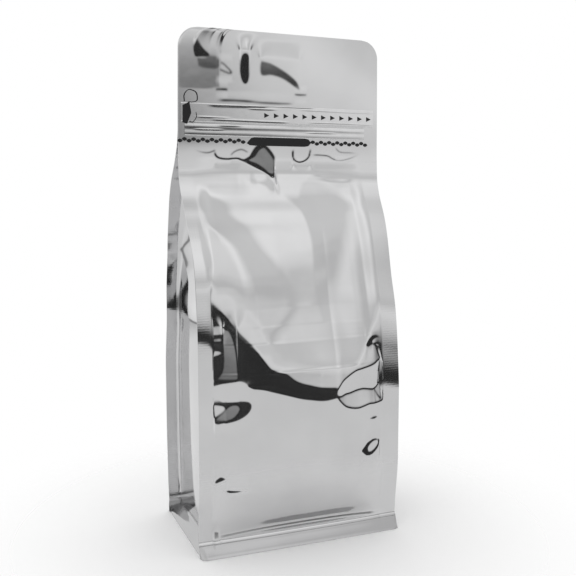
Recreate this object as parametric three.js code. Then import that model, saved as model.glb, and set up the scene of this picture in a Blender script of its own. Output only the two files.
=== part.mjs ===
import * as THREE from "three";

// Flat bottom bag of mirror foil, filled and shut. Front panel, back panel and two side gussets
// are heat-sealed along four upright fins; the base is a folded panel sealed to the front and the
// back along two low skirts; the top is a flat header with a tear strip and a press-shut track.
// Millimetres, +Z up, the front panel faces -Y, the origin is at the middle of the base.

// Driving dimensions: the whole bag
const bagWidth = 140;
const bagHeight = 332;
const finThickness = 0.8; // the sealed layers of one fin
const finGap = 0.3; // between the front and the back fins where the header is flat
const leftSeal = 9; // width of the sealed band along the left fins
const rightSeal = 12; // and along the right fins
const topCornerRadius = 12;

// Driving dimensions: the side view, as [height, value] pairs
const foldHeight = 9; // the panels fold out into the skirts here
const frontPlane = [
  [foldHeight, -38.5],
  [50, -42],
  [110, -42],
  [140, -39.5],
  [165, -36],
  [190, -28.5],
  [215, -17],
  [228, -10.3],
  [238, -7.2],
  [244, -6.6],
  [262, -6],
  [bagHeight, -6],
];
const depthOverFins = [
  [foldHeight, 80],
  [50, 87],
  [105, 87],
  [140, 81.5],
  [165, 78],
  [190, 67],
  [215, 45],
  [235, 24],
  [250, 10],
  [262, 3],
  [270, 2 * finThickness + finGap],
  [bagHeight, 2 * finThickness + finGap],
];
const frontBulge = [
  [foldHeight, 0],
  [13, 1.2],
  [20, 3.6],
  [30, 6.6],
  [42, 8.8],
  [60, 9.9],
  [80, 10],
  [104, 8.6],
  [127, 6.2],
  [155, 4],
  [185, 3],
  [215, 2],
  [240, 0.5],
  [252, 0],
  [bagHeight, 0],
];
const backBulge = [
  [foldHeight, 0],
  [30, 4],
  [80, 7],
  [130, 6],
  [185, 4],
  [225, 2],
  [252, 0],
  [bagHeight, 0],
];
const leftPower = 2.4; // how square the bulge is towards the left seal
const rightPower = 3.4;
const panelBow = 0.4; // the springy film bows this much from edge to edge, at every height

// Driving dimensions: gussets, skirts and the turn of the header
const gussetWidth = 82; // of film, flat, between its two seals
const gussetTuckFrom = 140; // height where the gusset starts to fold in
const gussetTuckFull = 178;
const gussetCrease = 1.08; // 1 folds the gusset to a knife edge, more rounds the fold
const gussetOpen = 4; // depth between the fins from which the gusset can fold in fully
const gussetBelly = 0.6; // how far a filled gusset stands out below the tuck
const bellyFull = 60; // height where it does so fully
const bellyFrom = 100; // and from where it goes back, up to the full tuck
const frontFlare = 7.5; // of the skirts' lower edges
const backFlare = 4.5;
const skirt = [
  [0, 1],
  [2, 0.75],
  [4, 0.49],
  [6, 0.26],
  [6.6, 0.18],
  [7.4, 0.16],
  [8.4, 0.035],
  [9.6, 0],
]; // the share of the flare at each height: two upright steps below the fold
const skirtCornerRadius = 4;
const ledgeHeight = 6; // foot of the gusset wall, where the base folds out to the sides
const ledgeReach = 69.2; // half the width over the two ledges
const twistBack = 5.5; // the left edge stands this far back below the header
const twistFrom = 205;
const twistHeight = 240;
const curlForward = 5.6; // and comes forward again by this much over the next curlHeight
const curlHeight = 85;
const curlPower = 1.6;
const curlBack = 0.2; // less by this share, which leans the right side back
const leanShift = 16; // the left of the front panel turns this much higher up than its middle
const leanRange = [40, 95, 165, 215]; // that shift comes and goes between these heights
const finShift = 10; // the left fin turns higher still
const finShiftRange = [-64, -56];

// Driving dimensions: what is on the header
const trimGap = 0.3; // to the film behind
const tearStrip = { left: -68.5, right: 66.5, low: 273.5, high: 285.5, thick: 0.4 };
const track = {
  left: -66,
  right: 60,
  low: 264.8,
  high: 272.6,
  thick: 0.3,
  ridge: 0.7,
  ridges: 2,
  swell: 0.25,
};
const pullTab = {
  left: -66.4,
  shoulder: -63,
  tip: -60.6,
  low: 272,
  high: 286,
  slant: 1,
  thick: 0.4,
};
const bandSteps = 14; // stretches of a band from left to right

const smoothStep = (from, to, value) => THREE.MathUtils.smoothstep(value, from, to);

// A smooth curve through [place, value] pairs that never swings past them.
function curveThrough(pairs) {
  const rise = (i) => (pairs[i + 1][1] - pairs[i][1]) / (pairs[i + 1][0] - pairs[i][0]);
  const slopes = pairs.map((pair, i) => {
    if (i === 0 || i === pairs.length - 1) return 0;
    const before = rise(i - 1);
    const after = rise(i);
    return before * after > 0 ? (2 * before * after) / (before + after) : 0;
  });
  return (place) => {
    const clamped = THREE.MathUtils.clamp(place, pairs[0][0], pairs[pairs.length - 1][0]);
    let i = 0;
    while (i < pairs.length - 2 && clamped > pairs[i + 1][0]) i += 1;
    const span = pairs[i + 1][0] - pairs[i][0];
    const t = (clamped - pairs[i][0]) / span;
    const start = pairs[i][1] * (1 + 2 * t) * (1 - t) ** 2 + slopes[i] * span * t * (1 - t) ** 2;
    const end = pairs[i + 1][1] * t * t * (3 - 2 * t) - slopes[i + 1] * span * t * t * (1 - t);
    return start + end;
  };
}

const frontPlaneAt = curveThrough(frontPlane);
const depthAt = curveThrough(depthOverFins);
const frontBulgeAt = curveThrough(frontBulge);
const backBulgeAt = curveThrough(backBulge);

const halfWidth = bagWidth / 2;
const leftWall = -(halfWidth - leftSeal);
const rightWall = halfWidth - rightSeal;

const skirtAt = curveThrough(skirt);

// The plane of the front fins. Its left side turns higher up than its right side; the header is
// turned back on the left, then curls forward to the top.
function finsY(x, z) {
  const [low, lowFull, highFull, high] = leanRange;
  const finShare = 1 - smoothStep(finShiftRange[0], finShiftRange[1], x);
  const shift = (leanShift * x) / halfWidth - finShift * finShare;
  const shifted = shift * smoothStep(low, lowFull, z) * (1 - smoothStep(highFull, high, z));
  const back = twistBack * smoothStep(twistFrom, twistHeight, z);
  const forward = curlForward * (Math.max(0, z - twistHeight) / curlHeight) ** curlPower;
  const share = 0.5 - x / bagWidth;
  return frontPlaneAt(z + shifted) + share * back - (share - curlBack) * forward;
}

// The share of the full bulge at x: 1 in the middle of a panel, 0 at its seals.
function bulgeShare(x) {
  const s = (2 * x - leftWall - rightWall) / (rightWall - leftWall);
  return 1 - Math.min(1, Math.abs(s)) ** (s < 0 ? leftPower : rightPower);
}

// How far a panel stands out from the plane of its fins, and the skirt under it.
const standOut = (bulge, flare, x, z) =>
  bulge * bulgeShare(x) + flare * skirtAt(z) + panelBow * (1 - (x / halfWidth) ** 2);

// The outer faces of the front and of the back at a height.
const frontY = (x, z) => finsY(x, z) - standOut(frontBulgeAt(z), frontFlare, x, z);
const backY = (x, z) => finsY(x, z) + depthAt(z) + standOut(backBulgeAt(z), backFlare, x, z);

// The lower corners of the skirts are rounded: there the edge stands this far back.
const cornerBack = (z) => skirtCornerRadius * Math.max(0, 1 - z / foldHeight) ** 2;

// The gusset at a height: side is -1 or 1, s runs from -1 at the front seal to 1 at the back seal.
// Below it is a wall that bellies out, above it folds inwards on its middle line, and at the
// floor it turns out into the ledge.
function gussetPoint(side, s, z) {
  const wall = side < 0 ? leftWall : rightWall;
  const out = 1 - smoothStep(0, ledgeHeight, z);
  const front = frontY(wall, z) + finThickness + out * cornerBack(z);
  const back = backY(wall, z) - finThickness - out * cornerBack(z);
  const slack = Math.sqrt(Math.max(0, gussetWidth ** 2 - (back - front) ** 2)) / 2;
  const open = smoothStep(finGap, gussetOpen, back - front);
  const tuck = Math.max(finGap, slack * smoothStep(gussetTuckFrom, gussetTuckFull, z) * open);
  const fill = 1 - smoothStep(bellyFrom, gussetTuckFull, z);
  const belly = gussetBelly * fill * smoothStep(ledgeHeight, bellyFull, z) * (1 - s * s);
  const reach = ledgeReach + panelBow * (1 - s * s) - Math.abs(wall);
  const x = wall + side * (belly + reach * out - tuck * (1 - Math.abs(s) ** gussetCrease));
  return [x, THREE.MathUtils.lerp(front, back, (s + 1) / 2)];
}

// Half the width of the bag at a height: the top corners are rounded.
function halfWidthAt(z) {
  const up = Math.max(0, z - (bagHeight - topCornerRadius));
  return halfWidth - topCornerRadius + Math.sqrt(Math.max(0, topCornerRadius ** 2 - up ** 2));
}

const evenSteps = (from, to, count) =>
  Array.from({ length: count + 1 }, (_, i) => from + ((to - from) * i) / count);

// Places across a panel, from the left edge to the right edge, the seal lines among them.
const panelSteps = 22;
const acrossPanel = [
  -halfWidth,
  -halfWidth + skirtCornerRadius,
  ...evenSteps(leftWall, rightWall, panelSteps),
  halfWidth - skirtCornerRadius,
  halfWidth,
];
const gussetSteps = evenSteps(-1, 1, 12);

// The closed outline of the bag at a height, seen from above, anticlockwise from the left of the
// front: front panel, right fins and gusset, back panel, left fins and gusset.
function outlineAt(z) {
  const narrow = halfWidthAt(z) / halfWidth;
  const corner = (x) => (Math.abs(x) === halfWidth ? cornerBack(z) : 0);
  const front = acrossPanel.map((x) => [x, frontY(x, z) + corner(x)]);
  const back = acrossPanel.map((x) => [x, backY(x, z) - corner(x)]);
  const side = (sign) => {
    const edge = sign * halfWidth;
    return [
      [edge, frontY(edge, z) + cornerBack(z) + finThickness],
      ...gussetSteps.map((s) => gussetPoint(sign, s, z)),
      [edge, backY(edge, z) - cornerBack(z) - finThickness],
    ];
  };
  const ring = [...front, ...side(1), ...back.reverse(), ...side(-1).reverse()];
  return ring.map(([x, y]) => new THREE.Vector3(x * narrow, y, z));
}

// A closed body through rings of equal length, with a flat cap on the first and on the last.
// flatten gives a ring's points as a plane outline that turns anticlockwise on the last cap.
function loft(rings, flatten) {
  const count = rings[0].length;
  const positions = rings.flat().flatMap((point) => point.toArray());
  const indices = [];
  for (let row = 0; row < rings.length - 1; row += 1) {
    for (let i = 0; i < count; i += 1) {
      const a = row * count + i;
      const b = row * count + ((i + 1) % count);
      indices.push(a, b, b + count, a, b + count, a + count);
    }
  }
  const cap = (ring, offset, flip) => {
    for (const face of THREE.ShapeUtils.triangulateShape(ring.map(flatten), [])) {
      const corners = face.map((corner) => corner + offset);
      indices.push(...(flip ? corners.reverse() : corners));
    }
  };
  cap(rings[0], 0, true);
  cap(rings[rings.length - 1], (rings.length - 1) * count, false);
  const geometry = new THREE.BufferGeometry();
  geometry.setAttribute("position", new THREE.Float32BufferAttribute(positions, 3));
  geometry.setIndex(indices);
  geometry.computeVertexNormals();
  return geometry;
}

// Heights of the bag's rings: close together at the fold, in the tuck and round the top corners.
function ringHeights() {
  const foot = skirt.map(([z]) => z);
  const body = [13, 18, 25, 34, 44, 56, 69, 83, 97, 111, 124, 136];
  const shoulder = evenSteps(146, 266, 15);
  const header = evenSteps(274, bagHeight - topCornerRadius, 4);
  const corner = evenSteps(0, Math.PI / 2, 5)
    .slice(1)
    .map((turn) => bagHeight - topCornerRadius + topCornerRadius * Math.sin(turn));
  return [...foot, ...body, ...shoulder, ...header, ...corner];
}

function makeBag() {
  const flatten = (point) => new THREE.Vector2(point.x, point.y);
  return loft(ringHeights().map(outlineAt), flatten);
}

// A band across the header. Its section, a list of [height, standing-out] pairs from the low edge
// to the high edge, is carried from left to right and keeps its gap to the film.
function bandAcross(left, right, section) {
  const flatten = (point) => new THREE.Vector2(point.y, point.z);
  const ring = (x) => {
    const at = ([z, out]) => new THREE.Vector3(x, frontY(x, z) - trimGap - out, z);
    const [low] = section[0];
    const [high] = section[section.length - 1];
    return [at([low, 0]), at([high, 0]), ...section.map(at).reverse()];
  };
  return loft(evenSteps(left, right, bandSteps).map(ring), flatten);
}

function makeTearStrip() {
  const { left, right, low, high, thick } = tearStrip;
  const section = [low, high].map((z) => [z, thick]);
  return bandAcross(left, right, section);
}

// The press-shut track pushes the film out in level ridges, with a swell over both of them.
function makeTrack() {
  const { left, right, low, high, thick, ridge, ridges, swell } = track;
  const wave = (z, count) => Math.sin((Math.PI * count * (z - low)) / (high - low)) ** 2;
  const out = (z) => thick + ridge * wave(z, ridges) + swell * wave(z, 1);
  const section = evenSteps(low, high, 4 * ridges).map((z) => [z, out(z)]);
  return bandAcross(left, right, section);
}

// A flat tab with a blunt point to the right, over the left end of the tear strip.
function makePullTab() {
  const { left, shoulder, tip, low, high, slant, thick } = pullTab;
  const middle = (low + high) / 2;
  const corners = [
    [left, low + slant],
    [shoulder, low],
    [tip, middle],
    [shoulder, high],
    [left, high - slant],
  ];
  const flatten = (point) => new THREE.Vector2(point.x, point.z);
  const behind = 2 * trimGap + tearStrip.thick;
  const ring = (out) =>
    corners.map(([x, z]) => new THREE.Vector3(x, frontY(x, z) - behind - out, z));
  return loft([ring(0), ring(thick)], flatten);
}

function addPart(group, name, geometry, finish) {
  const mesh = new THREE.Mesh(geometry, new THREE.MeshStandardMaterial(finish));
  mesh.name = name;
  group.add(mesh);
}

const foil = { color: 0xc4c6c8, roughness: 0.12, metalness: 1 };
const plastic = { color: 0xd4d6d7, roughness: 0.2, metalness: 0.8 };
const darkFilm = { color: 0x26282a, roughness: 0.4, metalness: 0 };

const bag = new THREE.Group();
addPart(bag, "foil_bag", makeBag(), foil);
addPart(bag, "tear_strip", makeTearStrip(), plastic);
addPart(bag, "zipper_track", makeTrack(), plastic);
addPart(bag, "pull_tab", makePullTab(), darkFilm);

export default bag;
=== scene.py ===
import math
import bpy
import numpy as np
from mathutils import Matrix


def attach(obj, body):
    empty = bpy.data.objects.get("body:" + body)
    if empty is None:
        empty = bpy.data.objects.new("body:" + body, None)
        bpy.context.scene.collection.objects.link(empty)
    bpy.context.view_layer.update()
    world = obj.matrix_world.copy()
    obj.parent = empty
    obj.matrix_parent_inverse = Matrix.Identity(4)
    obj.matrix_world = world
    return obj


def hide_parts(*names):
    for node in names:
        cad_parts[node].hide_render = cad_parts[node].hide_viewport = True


# A flat bottom bag of mirror foil, filled and shut. Shapes are worked out in millimetres in the
# frame of the CAD model and written into the meshes in metres. The front panel faces -Y.

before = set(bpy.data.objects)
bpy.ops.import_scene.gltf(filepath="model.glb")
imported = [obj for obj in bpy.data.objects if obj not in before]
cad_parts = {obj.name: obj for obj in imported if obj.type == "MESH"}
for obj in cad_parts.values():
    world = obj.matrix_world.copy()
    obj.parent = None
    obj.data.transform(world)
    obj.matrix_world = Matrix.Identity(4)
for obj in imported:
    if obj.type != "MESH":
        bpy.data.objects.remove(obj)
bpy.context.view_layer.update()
mm = 0.001

# The whole bag, as the solids have it but for up to 0.6 mm at the foot of its back. Each list of
# pairs is [height, value].
bag = {
    "width": 140,
    "height": 332,
    "foldHeight": 9,  # the panels fold out into the skirts here
    "leftSeal": 9,  # width of the sealed band along the left fins
    "rightSeal": 12,
    "finThickness": 0.8,  # two sealed layers
    "filmThickness": 0.4,  # one of them
    "topCornerRadius": 12,
    "frontPlane": [[9, -38.5], [50, -42], [110, -42], [140, -39.5], [165, -36], [190, -28.5],
                   [215, -17], [228, -10.3], [238, -7.2], [244, -6.6], [262, -6], [332, -6]],
    "depthOverFins": [[9, 80], [14, 80.8], [46, 86.3], [62, 87], [105, 87], [140, 81.5], [165, 78],
                      [190, 67], [215, 45], [235, 24], [250, 10], [262, 3], [270, 1.9], [332, 1.9]],
    "frontBulge": [[9, 0], [13, 1.2], [20, 3.6], [30, 6.6], [42, 8.8], [60, 9.9], [80, 10],
                   [104, 8.6], [127, 6.2], [155, 4], [185, 3], [215, 2], [240, 0.5], [252, 0], [332, 0]],
    "backBulge": [[9, 0], [30, 4], [80, 7], [130, 6], [185, 4], [225, 2], [252, 0], [332, 0]],
    "leftPower": 2.4,  # how square the bulge is towards the left seal
    "rightPower": 3.4,
    "panelBow": 0.4,  # both panels stand out by this in the middle of their width
    "frontFlare": 7.5,  # of the skirts' lower edges
    "backFlare": 4.5,
    "skirt": [[0, 1], [2, 0.75], [4, 0.49], [6, 0.26], [6.6, 0.18], [7.4, 0.16], [8.4, 0.035], [9.6, 0]],
    "skirtCornerRadius": 4,
    "leanShift": 16,  # the left edge of the front panel leans back this much higher up than its middle
    "finShift": 10,  # and the left fin higher still
    "finTurn": [-64, -56],  # x over which the left fin turns into the panel
    "shiftFrom": [40, 95],  # heights over which both shifts begin
    "shiftTo": [165, 215],  # and over which they end
    "twistBack": 5.5,  # the left edge stands this far back at the foot of the header
    "twist": [205, 240],  # heights over which it goes back
    "curlForward": 5.6,  # how far it has come forward again after the height of the curl
    "curlHeight": 85,
    "curlPower": 1.6,
    "curlBack": 0.2,  # less by this share, which leans the right side back
}
halfWidth = bag["width"] / 2
leftWall = bag["leftSeal"] - halfWidth
rightWall = halfWidth - bag["rightSeal"]


def smoothStep(low, high, value):
    # 0 below low, 1 above high and 3t^2 - 2t^3 between them
    t = np.clip((value - low) / (high - low), 0, 1)
    return t * t * (3 - 2 * t)


def curveThrough(pairs, place):
    # Monotone cubic through [place, value] pairs: each slope is the harmonic mean of its two
    # chords, or nothing at a turning point and at the ends.
    x, y = np.array(pairs, float).T
    rise = np.diff(y) / np.diff(x)
    before, after = rise[:-1], rise[1:]
    same = before * after > 0
    slope = np.zeros(len(x))
    slope[1:-1][same] = 2 * before[same] * after[same] / (before[same] + after[same])
    place = np.clip(place, x[0], x[-1])
    i = np.clip(np.searchsorted(x, place) - 1, 0, len(x) - 2)
    span = x[i + 1] - x[i]
    t = (place - x[i]) / span
    start = y[i] * (1 + 2 * t) * (1 - t) ** 2 + slope[i] * span * t * (1 - t) ** 2
    end = y[i + 1] * t * t * (3 - 2 * t) - slope[i + 1] * span * t * t * (1 - t)
    return start + end


def splineThrough(points, steps=8):
    # Catmull-Rom: a smooth line through the points, steps pieces between two of them
    p = np.array(points, float)
    p = np.vstack([2 * p[0] - p[1], p, 2 * p[-1] - p[-2]])
    t = (np.arange(steps) / steps)[None, :, None]
    a, b, c, d = p[:-3, None], p[1:-2, None], p[2:-1, None], p[3:, None]
    run = 2 * b + (c - a) * t + (2 * a - 5 * b + 4 * c - d) * t**2 + (3 * b - a - 3 * c + d) * t**3
    return np.vstack([run.reshape(-1, p.shape[1]) / 2, p[-2]])


def lineHeight(points, x):
    # the height of a smooth line that crosses the panel, at each x
    line = splineThrough(points)
    order = np.argsort(line[:, 0])
    return np.interp(x, line[order, 0], line[order, 1])


def borderAt(points, z):
    # the x of a smooth line that runs up the panel, at each height
    line = splineThrough(points)
    order = np.argsort(line[:, 1])
    return np.interp(z, line[order, 1], line[order, 0])


def distanceTo(points, x, z):
    # how far each place is from a smooth line, and the share of the line's length passed there:
    # the least of the distances to its straight pieces
    line = splineThrough(points, steps=6)
    start, step = line[:-1], np.diff(line, axis=0)
    length = np.hypot(*step.T)
    passed = np.concatenate([[0], np.cumsum(length)])
    best, share = np.full(x.shape, np.inf), np.zeros(x.shape)
    for i in range(len(start)):
        ux, uz = step[i] / length[i]
        along = np.clip((x - start[i, 0]) * ux + (z - start[i, 1]) * uz, 0, length[i])
        away = np.hypot(x - start[i, 0] - along * ux, z - start[i, 1] - along * uz)
        closer = away < best
        best = np.where(closer, away, best)
        share = np.where(closer, (passed[i] + along) / passed[-1], share)
    return best, share


# The plain faces of the bag give y for each x and height.

def finsY(x, z):
    # The plane of the front fins leans back above, on the left higher up. The header is turned back
    # on the left and curls forward to the top: plane + share back - (share - curlBack) forward,
    # with a share of 1 at the left edge and 0 at the right one.
    higher = bag["leanShift"] * x / halfWidth - bag["finShift"] * (1 - smoothStep(*bag["finTurn"], x))
    higher = higher * smoothStep(*bag["shiftFrom"], z) * (1 - smoothStep(*bag["shiftTo"], z))
    back = bag["twistBack"] * smoothStep(*bag["twist"], z)
    curl = np.maximum(0, z - bag["twist"][1]) / bag["curlHeight"]
    forward = bag["curlForward"] * curl ** bag["curlPower"]
    share = 0.5 - x / bag["width"]
    plane = curveThrough(bag["frontPlane"], z + higher)
    return plane + share * back - (share - bag["curlBack"]) * forward


def bulgeShare(x):
    # 1 in the middle of a panel and 0 at its seals: 1 - |s|^power
    s = (2 * x - leftWall - rightWall) / (rightWall - leftWall)
    power = np.where(s < 0, bag["leftPower"], bag["rightPower"])
    return 1 - np.minimum(1, np.abs(s)) ** power


def flareShare(z):
    # nothing at the fold, all of it at the floor, with two upright steps below the fold
    return curveThrough(bag["skirt"], z)


def cornerBack(x, z):
    # how far the skirts' lower corners are rounded back: r - sqrt(r^2 - over^2), over being how far
    # x is past the start of the corner, times (1 - z / foldHeight)^2
    radius = bag["skirtCornerRadius"]
    over = np.maximum(0, np.abs(x) - halfWidth + radius)
    share = np.maximum(0, 1 - z / bag["foldHeight"]) ** 2
    return share * (radius - np.sqrt(np.maximum(0, radius**2 - over**2)))


def bow(x):
    # the bow of a panel across its width: 1 - (x / halfWidth)^2
    return bag["panelBow"] * (1 - (x / halfWidth) ** 2)


def frontFace(x, z):
    # the fins' plane less the bulge, the flare of the skirt and the bow, and back at its corners
    bulge = curveThrough(bag["frontBulge"], z) * bulgeShare(x)
    return finsY(x, z) - bulge - bag["frontFlare"] * flareShare(z) - bow(x) + cornerBack(x, z)


def backFace(x, z):
    # the same the other way round, the depth of the bag behind the front fins
    bulge = curveThrough(bag["backBulge"], z) * bulgeShare(x)
    depth = curveThrough(bag["depthOverFins"], z)
    return finsY(x, z) + depth + bulge + bag["backFlare"] * flareShare(z) + bow(x) - cornerBack(x, z)


def narrowing(z):
    # the share of the full half width at each height: the top corners are quarter circles
    radius = bag["topCornerRadius"]
    up = np.maximum(0, z - (bag["height"] - radius))
    return (halfWidth - radius + np.sqrt(np.maximum(0, radius**2 - up**2))) / halfWidth


# The folds pressed into the front panel are places where the film leans otherwise. Each line and
# outline is a list of [x, height].

folds = {
    # the big fold: between these two lines the film is nearly upright, above it leans back
    "wedgeTop": [[-70, 166], [-59, 160], [-50, 149.5], [-44, 142], [-37, 134.5], [-30, 125.5],
                 [-25, 119], [-20, 117], [-15, 115], [-10, 111], [-5, 108.5], [0, 107],
                 [5, 105.5], [10, 104.5], [20, 103.5], [40, 102], [70, 104]],
    "wedgeFoot": [[-70, 106], [-61, 105.5], [-58, 107], [-55, 109], [-50, 110.5], [-45, 111.5],
                  [-42, 110.5], [-38, 107.5], [-30, 106], [-25, 104.5], [-20, 103], [-15, 101.5],
                  [-10, 100], [-5, 98.5], [0, 97.5], [10, 96], [20, 97], [40, 100], [70, 103.9]],
    # two pillows to the right of it, one above the other
    "pillowTop": [[19, 101], [20, 102.5], [22, 105], [25, 108], [30, 111], [35, 113.2],
                  [40, 114], [50, 115.8], [57, 118], [70, 119]],
    "pillowMiddle": [[19, 98.5], [22, 97.5], [26, 98.5], [30, 99], [35, 100], [40, 100.3],
                     [45, 99.5], [50, 99], [55, 102], [60, 104], [70, 105]],
    "pillowFoot": [[19, 98], [20, 97], [22, 94.5], [25, 91.5], [28, 90], [32, 89], [36, 88.7],
                   [40, 89.3], [45, 90], [50, 89.5], [58, 90], [70, 90]],
    "pillows": [18.5, 21],  # x over which they take the place of the big fold
    "edge": 0.6,  # half the height over which the film turns at a line
    "pillowEdge": 1.1,
    # lean of the film, back for up, as [height, lean] pairs
    "leanAbove": [[60, 0.2], [95, 0.18], [120, 0.145], [145, 0.145], [165, 0.15]],
    "leanInside": [[40, 0.15], [60, 0.13], [90, 0.086], [110, 0.065], [150, 0.027],
                   [200, -0.02], [250, -0.07], [310, -0.129]],
    "leanBelow": [[85, 0.027], [120, -0.005]],
    "sideways": 0.4,  # film turned to the side leans more for the same mirror image
    "mostSideways": 1.35,  # but no more than this many times
    "startOver": [60, 85],  # heights over which the folds begin
    "endOver": [165, 190],  # and over which they end
    "backOver": [165, 235],  # the depth that they add up to is taken back over these
    "sealEdge": 1.1,  # the folds fade out over this width at the seals
    "sealEdgeAbove": 10,  # and over this one further up: it widens over endOver on the left
    "rightEndOver": [113, 138],  # and over these heights on the right
    "evenFrom": 1,  # height above a fold from which its depth is spread sideways
    "evenTo": 22,
    "evenWidth": 9,
    "aboveReach": [6, 22],  # the lean above a line goes back to the plain lean over this height
}

# Facets of the upper panel, turned to the left or right of the film round them: [left border, half
# the width of its edge, right border, the same, turn: how fast the film goes back to the right].
turns = {
    "panel": [
        # a bright leaf in the middle, with a sharp crest along its right border
        [[[-30, 238], [-38, 227], [-41, 218], [-39, 211], [-34, 203], [-25, 192], [-12, 181],
          [0, 169], [9, 156]], 7,
         [[-30, 238], [-12, 232], [4, 222], [10, 212], [11.2, 203], [11.4, 190], [11, 174],
          [9, 156]], 1.2, -0.06],
        # a valley to the right of it
        [[[20, 241], [12, 233], [8.5, 220], [11, 205], [11.5, 190], [11, 174], [12, 158],
          [15, 144]], 1.2,
         [[20, 241], [32, 234], [40, 224], [40, 214], [38, 203], [30, 185], [22, 168],
          [15, 144]], 8, 0.07],
        # the valley to the left of it
        [[[-63, 234], [-63, 222], [-60, 210], [-50, 202], [-44, 192], [-41, 180], [-40, 168],
          [-36, 154], [-24, 134]], 5,
         [[-63, 234], [-49, 226], [-40, 214], [-29, 199], [-18, 184], [-6, 168], [-7, 154],
          [-24, 134]], 8, 0.14],
        # a narrow facet under its left end
        [[[-62, 208], [-62, 190], [-62, 168]], 2,
         [[-62, 208], [-57, 197], [-58.5, 182], [-62, 168]], 3, -0.05],
        # the film at the far right
        [[[50, 238], [44, 226], [42, 214], [40, 203], [33, 185], [27, 168], [27, 150], [30, 135],
          [36, 116]], 8,
         [[50, 238], [57, 226], [58, 214], [58, 170], [52, 142], [36, 116]], 5, -0.17],
    ],
    "ends": 1.5,  # the turn fades out over this much height at a facet's ends
}

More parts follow.
